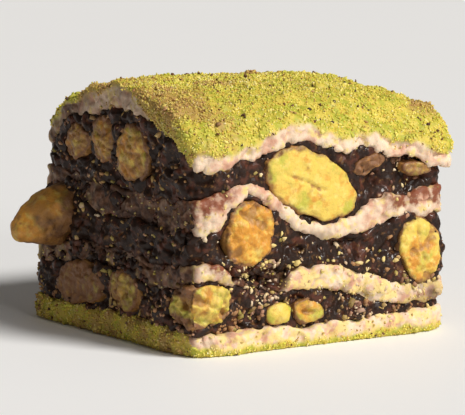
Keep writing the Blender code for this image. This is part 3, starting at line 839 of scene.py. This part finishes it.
def thin_sheet_stain(points, seed, level, tear):
    """How stained a thin sheet is: most at its upper face, deep inside and at the named places. On the left
    side it is painted shade.
    """
    soaked = level + relief(points, seed, STAIN_SPREAD)
    named = bumps_at(points, STAINS, (0, 2)) * smoothstep(-5, -14, points[:, 1])
    shares = (
        0.75 * smoothstep(0.75, 1.15, soaked) * patches(points, 5.0, seed + 2, (-0.4, 0.4)),
        0.5 * smoothstep(0.12, -0.15, soaked),
        smoothstep(0.5, 1.6, depth_in(points)),
        named * (0.4 + 0.7 * smoothstep(0.3, 0.7, soaked)),
        # Painted shade on the left side
        0.6 * on_left(points),
        tear,
    )
    return 0.9 * np.maximum.reduce(shares)


def thin_sheet_grime(points, seed, tear):
    """How much filling is smeared over a thin sheet: at the named place and at the tear; on the left side it is
    painted shade.
    """
    shares = (
        0.3 * patches(points, 1.9, seed + 7, (0.4, 0.8)),
        # Painted shade on the left side
        on_left(points) * relief(points, seed, LEFT_PAINTED_SHADE),
        on_front(points) * bumps_at(points, SOILED, (0, 2)) * relief(points, seed, SOILED_GRIME),
        0.9 * tear,
    )
    return np.maximum.reduce(shares)


def make_thin_sheet(node, seed, material):
    """A thin nougat sheet, stained by the syrup of the filling above and a little by the one below, and with
    shade painted on its left side.
    """
    upper_face = tree_of([node], lambda normal: normal.z > FACING_UP)
    lower_face = tree_of([node], lambda normal: normal.z < -FACING_UP)
    piece, points, normals = fine_piece(node, LAYER_VOXEL, 2, near_faces)
    from_top, from_bottom = distance_to(points, upper_face), distance_to(points, lower_face)
    level = from_bottom / np.maximum(0.1, from_top + from_bottom)
    tear = torn(points, seed + 8) * (node == TORN_SHEET)
    stain = thin_sheet_stain(points, seed, level, tear)
    write_looks(piece.data, stain=stain, grime=thin_sheet_grime(points, seed, tear))
    side = side_share(points, normals, SHEET_SIDE)
    edge = ragged_edge(points, seed + 6) - LEFT_WEAR * on_left(points) - TEAR_DEPTH * tear
    outward = side * edge + (1 - side) * relief(points, seed, THIN_SHEET_FACES)
    finish_layer(piece, points, normals, outward, material)
    return piece


def make_coated_sheet(node, seed, material, coated_distance, reach, grime):
    """An outer nougat sheet: the coat covers its outer face and wraps over its edge by reach(points)."""
    piece, points, normals = fine_piece(node, LAYER_VOXEL, 2, near_faces_or_up)
    left = on_left(points)
    distance = coated_distance(points)
    wander = relief(points, seed, COAT_EDGE) * smoothstep(0.1, 0.6, distance)
    coat = smoothstep(0.3, -0.2, distance - reach(points) - wander)
    inside = smoothstep(0.9, 2.0, depth_in(points))
    # The stain share of 0.35 on the left is painted shade
    stain = np.maximum.reduce((0.4 * patches(points, 2.2, seed + 2, (0.2, 0.8)), inside, 0.35 * left))
    # Painted shade on the left side, darkest towards the back
    painted_left_shade = left * (relief(points, seed, LEFT_COATED_PAINTED_SHADE) + 0.9 * smoothstep(5, 13, points[:, 1]))
    browned = browned_and_shaded_at(points)
    write_looks(piece.data, stain=stain * (1 - coat), grime=grime * painted_left_shade, coat=coat, browned=browned)
    side = side_share(points, normals, SHEET_SIDE)
    plain = side * ragged_edge(points, seed + 11) + (1 - side) * relief(points, seed, COATED_SHEET_FACES)
    outward = coat * relief(points, seed, COAT_CRUMBS) + (1 - coat) * plain
    finish_layer(piece, points, normals, outward, material)
    return piece


def top_coat_reach(points):
    """How far the coat wraps over the top sheet's edge."""
    left = TOP_LEFT_REACH * on_left(points) * smoothstep(-3, -12, points[:, 1])
    return TOP_COAT_REACH + left + TOP_CORNER_REACH * bumps_at(points, (TOP_CORNER,), (0, 1))


def bottom_coat_reach(points):
    return BOTTOM_COAT_REACH + BOTTOM_LEFT_REACH * on_left(points)


# Nuts


def nut_looks(node, seed):
    """A nut's looks, drawn at random for the ones that the table doesn't name."""
    if node in NUT_LOOKS:
        return NUT_LOOKS[node]
    chance = np.random.default_rng(seed)
    return (*(chance.uniform(low, high) for low, high in DRAWN_LOOKS), 0.0)


def own_axes(flat):
    """Places on a nut's face along its short and its long way, -1 to 1 each, and half its width."""
    spread = flat - flat.mean(axis=0)
    _, directions = np.linalg.eigh(spread.T @ spread)
    own = spread @ directions
    half = (own.max(axis=0) - own.min(axis=0)) / 2
    return (own - own.min(axis=0)) / half - 1, half[0]


def cut_share(points, normals):
    """1 where the knife cut a nut, on any side of the block, and 0 elsewhere."""
    straight = upright(points)
    share = np.zeros(len(points))
    for axis, sign in FACES.values():
        depth = HALF - sign * straight[:, axis]
        flush = smoothstep(0.55, 0.9, sign * normals[:, axis]) * smoothstep(0.5, 0.15, depth)
        share = np.maximum(share, flush)
    return share


def groove_share(points, own, half_width, seed):
    """1 along the groove in a nut's face, which wanders and ends before the rim, and 0 elsewhere."""
    across = own[:, 0] * half_width + relief(points, seed, GROOVE_WANDER)
    from_middle = np.hypot(own[:, 0], own[:, 1] - GROOVE_SHIFT)
    return np.exp(-((across / GROOVE_WIDTH) ** 2)) * smoothstep(*GROOVE_ENDS, from_middle)


def skin_share(points, cut, seed, whole):
    """1 on a nut's skin and 0 on its flesh. The whole nut has lost some of its skin."""
    skin = smoothstep(0.6, 0.25, cut + relief(points, seed, SKIN_EDGE))
    if whole:
        skin *= 0.25 + 0.7 * patches(points, 2.6, seed + 14, (-0.25, 0.25))
    return skin


def make_nut(node, seed, material):
    """A pistachio: a crumbly bulging face where the knife went, and skin behind its rim."""
    orange, green, brown, rough, bulge, groove_depth, low_orange = nut_looks(node, seed)
    whole = node == WHOLE_NUT
    piece, points, normals = fine_piece(node, NUT_VOXEL, 2, near_faces)
    mesh = piece.data
    cut = np.zeros(len(points)) if whole else cut_share(points, normals)
    face_axis = FACES[node.split("_")[1]][0]
    around = [1 - face_axis, 2]
    middle = (points.min(axis=0) + points.max(axis=0)) / 2
    half = (points.max(axis=0) - points.min(axis=0)) / 2
    flat = (points - middle)[:, around]
    own, half_width = own_axes(flat)
    radius = np.linalg.norm(own, axis=1)
    groove = groove_share(points, own, half_width, seed)
    pits = patches(points, 1.5, seed + 13, (0.2, 0.65))
    crags = rough * (relief(points, seed, NUT_CRAGS) - PIT_DEPTH * pits)
    face = 0.1 + crags + bulge * np.clip(1 - radius**2, -0.3, 1) - groove_depth * groove
    back = relief(points, seed, NUT_SKIN_SWELLS) + rough * relief(points, seed, NUT_SKIN_KNOBS)
    moved = points + normals * (cut * face + (1 - cut) * back)[:, None]
    moved[:, around] += (flat / half[around]) * relief(points, seed, NUT_OUTLINE)[:, None]
    write_points(mesh, moved)
    lower_end = -low_orange * flat[:, 1] / half[2]
    rim = smoothstep(0.6, 1, radius)
    write_value(mesh, "skin", skin_share(points, cut, seed, whole))
    write_value(mesh, "orange", orange + lower_end + relief(points, seed, ORANGE_CHANGE))
    write_value(mesh, "green", green + relief(points, seed, GREEN_CHANGE) + RIM_GREEN * rim)
    write_value(mesh, "pit", PIT_DARKNESS * rough * pits + GROOVE_DARKNESS * groove * (groove_depth > 0))
    write_value(mesh, "brown", brown + RIM_BROWN * smoothstep(0.80, 0.98, radius))
    mesh.materials.append(material)


# Grains


def grain_shape(splits):
    """The points and triangles of a round grain."""
    mesh = bmesh.new()
    bmesh.ops.create_icosphere(mesh, subdivisions=splits, radius=1)
    points = np.array([v.co[:] for v in mesh.verts])
    faces = np.array([[v.index for v in f.verts] for f in mesh.faces])
    mesh.free()
    return points, faces


def random_turns(chance, count):
    """Random rotation matrices."""
    q = chance.normal(size=(count, 4))
    w, x, y, z = (q / np.linalg.norm(q, axis=1, keepdims=True)).T
    rows = (
        (1 - 2 * (y * y + z * z), 2 * (x * y - z * w), 2 * (x * z + y * w)),
        (2 * (x * y + z * w), 1 - 2 * (x * x + z * z), 2 * (y * z - x * w)),
        (2 * (x * z - y * w), 2 * (y * z + x * w), 1 - 2 * (x * x + y * y)),
    )
    return np.array(rows).transpose(2, 0, 1)


def scatter(chance, bases, weight_of, count):
    """Random places on the bases' surfaces, more where weight_of(mesh, points, normals) is higher."""
    corners, normals, weights = [], [], []
    for base in bases:
        mesh = base.data
        mesh.calc_loop_triangles()
        triangles = read_rows(mesh.loop_triangles, "vertices", 3, np.int32)
        points, vertex_normals = read_points(mesh), read_normals(mesh)
        value = weight_of(mesh, points, vertex_normals)
        a, b, c = (points[triangles[:, k]] for k in range(3))
        area = np.linalg.norm(np.cross(b - a, c - a), axis=1) / 2
        corners.append(np.stack((a, b, c), axis=1))
        normals.append(vertex_normals[triangles].mean(axis=1))
        weights.append(area * value[triangles].mean(axis=1))
    corners, normals, weights = (np.concatenate(parts) for parts in (corners, normals, weights))
    chosen = chance.choice(len(weights), size=count, p=weights / weights.sum())
    share = chance.dirichlet((1, 1, 1), size=count)
    return (corners[chosen] * share[:, :, None]).sum(axis=1), normals[chosen]


def scattered_mesh(name, chance, bases, weight_of, count, smallest, largest, splits, length, sink, flatten):
    """One mesh of many uneven bodies, sunk in what they lie on, none below the floor, and their places."""
    places, normals = scatter(chance, bases, weight_of, count)
    radii = smallest + (largest - smallest) * chance.beta(*GRAIN_SIZES, count)
    shape, faces = grain_shape(splits)
    uneven = chance.uniform(*GRAIN_OUTLINE, size=(count, len(shape), 1))
    long_way = length * chance.uniform(*GRAIN_LENGTH, count)
    wide_way = chance.uniform(*GRAIN_WIDTH, count)
    squeeze = np.stack((long_way, wide_way, chance.uniform(*GRAIN_HEIGHT, count)), axis=1)
    local = shape[None] * uneven * squeeze[:, None, :] * radii[:, None, None]
    turned = np.einsum("nij,nkj->nki", random_turns(chance, count), local)
    upward = (turned * normals[:, None, :]).sum(axis=2, keepdims=True)
    turned -= flatten * upward * normals[:, None, :]
    points = turned + (places - normals * (radii * sink)[:, None])[:, None, :]
    lowest = points[:, :, 2].min(axis=1)
    points[:, :, 2] += np.maximum(0, -lowest)[:, None]
    triangles = (faces[None] + (np.arange(count) * len(shape))[:, None, None]).reshape(-1, 3)
    mesh = bpy.data.meshes.new(name)
    mesh.vertices.add(count * len(shape))
    mesh.loops.add(triangles.size)
    mesh.polygons.add(len(triangles))
    mesh.loops.foreach_set("vertex_index", triangles.ravel().astype(np.int32))
    mesh.polygons.foreach_set("loop_start", np.arange(0, triangles.size, 3, dtype=np.int32))
    write_points(mesh, points.reshape(-1, 3))
    mesh.update(calc_edges=True)
    return mesh, places


def add_scattered(name, mesh, material):
    mesh.materials.append(material)
    piece = added(name, mesh)
    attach(piece, "root")


def make_grains(kind, slot, bases, weight_of, count, smallest, largest, length, stand_out, seed, colours):
    """One piece that holds every grain of a kind."""
    chance = np.random.default_rng(seed)
    sizes = (count, smallest, largest, 1, length, -stand_out, 0)
    mesh, places = scattered_mesh(kind, chance, bases, weight_of, *sizes)
    points_each = len(mesh.vertices) // count
    write_value(mesh, "tone", np.repeat(chance.uniform(0, 1, count) ** TONE_POWER[slot], points_each))
    write_value(mesh, "browned", np.repeat(browned_and_shaded_at(places), points_each))
    add_scattered(kind, mesh, grain_surface(kind, *colours))


def make_smears_and_shade(bases, material):
    """Flat sticky lumps of filling over the edges of the sheets; on the left side they also stand for painted
    shade.
    """
    chance = np.random.default_rng(SMEARS_AND_SHADE_SEED)
    mesh, _ = scattered_mesh("filling_smears_and_shade", chance, bases, smear_and_shade_weight, *SMEARS_AND_SHADE)
    mesh.shade_smooth()
    add_scattered("filling_smears_and_shade", mesh, material)


def coat_weight(mesh, points, normals):
    """High on the coat, and nothing right above the floor."""
    return read_value(mesh, "coat") ** 2 * (points[:, 2] > 0.15)


def browned_and_shaded_weight(mesh, points, normals):
    """High where the coat is browned and where brown is painted as shade low on the left side."""
    return coat_weight(mesh, points, normals) * (0.06 + browned_and_shaded_at(points))


def at_tear(points):
    """1 round the tear of the lower thin sheet, and 0 elsewhere."""
    return torn(points, 79) * (abs(points[:, 2] - TEAR_HEIGHT) < 2.5)


def at_spots(points):
    """High round the places on the front face where crumbs gather."""
    return on_front(points) * bumps_at(points, CRUMB_SPOTS, (0, 2))


def side_weight(mesh, points, normals):
    """High on the cut sides, in clusters, and most low down, on the left and round the named places."""
    clusters = CRUMBS_ANYWHERE + CRUMBS_IN_CLUSTERS * patches(points, 3.0, 77, (0.0, 0.6))
    places = CRUMBS_ON_LEFT * on_left(points) + CRUMBS_AT_SPOTS * at_spots(points)
    low = smoothstep(11.0, 3.0, points[:, 2])
    return side_share(points, normals, CRUMBED_SIDE) * (clusters + low + places)


def spot_weight(mesh, points, normals):
    """High at the tear and round the named places on the front face, and a little on all cut sides."""
    return side_share(points, normals, CRUMBED_SIDE) * (0.04 + at_spots(points) + 1.5 * at_tear(points))


def low_weight(mesh, points, normals):
    """Highest in the lowest filling, in clusters."""
    clusters = 0.1 + patches(points, 3.0, 80, (-0.2, 0.5))
    low = 0.15 + smoothstep(9.0, 6.0, points[:, 2])
    return side_share(points, normals, CRUMBED_SIDE) * clusters * low


def smear_and_shade_weight(mesh, points, normals):
    """High on the left side, where the lumps also stand for painted shade, and at the tear, and nothing on the
    coat.
    """
    spread = patches(points, 2.5, 78, (-0.2, 0.5)) * on_left(points) + 0.5 * at_tear(points)
    return side_share(points, normals, CRUMBED_SIDE) * spread * (1 - read_value(mesh, "coat"))


# Studio


def make_floor():
    """A wide pale floor that the piece stands on."""
    mesh = bpy.data.meshes.new("floor")
    corners = [(x * FLOOR_SIZE, y * FLOOR_SIZE, 0) for x, y in ((-1, -1), (1, -1), (1, 1), (-1, 1))]
    mesh.from_pydata(corners, [], [(0, 1, 2, 3)])
    surface = Surface("floor", 0.6)
    surface.colour(surface.mix(surface.noise(FLOOR_PATCH, shift=1.0), *FLOOR_GREYS))
    mesh.materials.append(surface.material)
    added("floor", mesh)


def direction(azimuth, elevation):
    """From the middle of the block towards a viewer at this azimuth and elevation, in degrees."""
    a, e = math.radians(azimuth), math.radians(elevation)
    return Vector((math.sin(a) * math.cos(e), -math.cos(a) * math.cos(e), math.sin(e)))


def add_light(name, kind, azimuth, elevation, power, settings, colour):
    """A light that shines at the block."""
    data = bpy.data.lights.new(name, kind)
    data.energy = power
    data.color = colour
    for setting, value in settings.items():
        setattr(data, setting, value)
    light = added(name, data)
    towards = direction(azimuth, elevation)
    light.location = Vector(AIM_POINT) + towards * LIGHT_DISTANCE
    light.rotation_euler = towards.to_track_quat("Z", "Y").to_euler()


def make_world():
    world = bpy.data.worlds.new("studio")
    world.use_nodes = True
    background = world.node_tree.nodes["Background"]
    background.inputs["Color"].default_value = SKY_COLOUR
    background.inputs["Strength"].default_value = SKY_STRENGTH
    bpy.context.scene.world = world


def make_camera():
    data = bpy.data.cameras.new("camera")
    data.sensor_width = SENSOR
    data.lens = SENSOR * CAMERA_DISTANCE / SEEN_WIDTH
    data.clip_start = 0.01
    data.clip_end = 20
    camera = added("camera", data)
    towards = direction(CAMERA_AZIMUTH, CAMERA_ELEVATION)
    camera.location = Vector(AIM_POINT) + towards * CAMERA_DISTANCE
    camera.rotation_euler = towards.to_track_quat("Z", "Y").to_euler()
    bpy.context.scene.camera = camera


def make_studio():
    make_floor()
    make_world()
    for light in LIGHTS:
        add_light(*light)
    make_camera()
    bpy.context.scene.view_settings.view_transform = "Standard"


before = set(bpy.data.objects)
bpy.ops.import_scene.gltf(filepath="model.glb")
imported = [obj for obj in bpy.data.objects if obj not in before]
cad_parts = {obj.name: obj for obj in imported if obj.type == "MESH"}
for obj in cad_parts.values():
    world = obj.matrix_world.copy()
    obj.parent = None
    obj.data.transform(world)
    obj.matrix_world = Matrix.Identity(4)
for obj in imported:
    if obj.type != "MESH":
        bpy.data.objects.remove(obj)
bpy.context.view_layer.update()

nougat = nougat_surface()
filling = filling_surface()
nut = nut_surface()

nut_nodes = sorted(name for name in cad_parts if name.startswith("nut_"))
filling_trees = {node: tree_of([node]) for node in ("lower_filling", "middle_filling", "upper_filling")}
nuts_in = {node: [] for node in filling_trees}
for nut_node in nut_nodes:
    nuts_in[nearest_filling(nut_node, filling_trees)].append(nut_node)

fillings = [make_filling(node, nuts_in[node], 100 * k, filling) for k, node in enumerate(nuts_in, 1)]
thin_sheets = [make_thin_sheet("lower_sheet", 400, nougat), make_thin_sheet("upper_sheet", 500, nougat)]
roof_faces = tree_of(["top_sheet"], lambda normal: normal.z > FACING_UP)
# The last number of each call is how much shade is painted on that sheet's left side
top_sheet = make_coated_sheet(
    "top_sheet", 600, nougat, lambda points: distance_to(points, roof_faces), top_coat_reach, 0.42
)
bottom_sheet = make_coated_sheet(
    "bottom_sheet", 700, nougat, lambda points: points[:, 2], bottom_coat_reach, 0.8
)
for k, nut_node in enumerate(nut_nodes):
    make_nut(nut_node, 800 + 20 * k, nut)

coated = [top_sheet, bottom_sheet]
PLACES = {
    "coat": (coated, coat_weight),
    "browned": (coated, browned_and_shaded_weight),
    "sheets": (thin_sheets + coated, side_weight),
    "fillings": (fillings, side_weight),
    "cuts": (fillings + thin_sheets, spot_weight),
    "low": (fillings, low_weight),
}
for kind, slot, where, *sizes in GRAINS:
    make_grains(kind, slot, *PLACES[where], *sizes)
make_smears_and_shade(thin_sheets, filling)
make_studio()
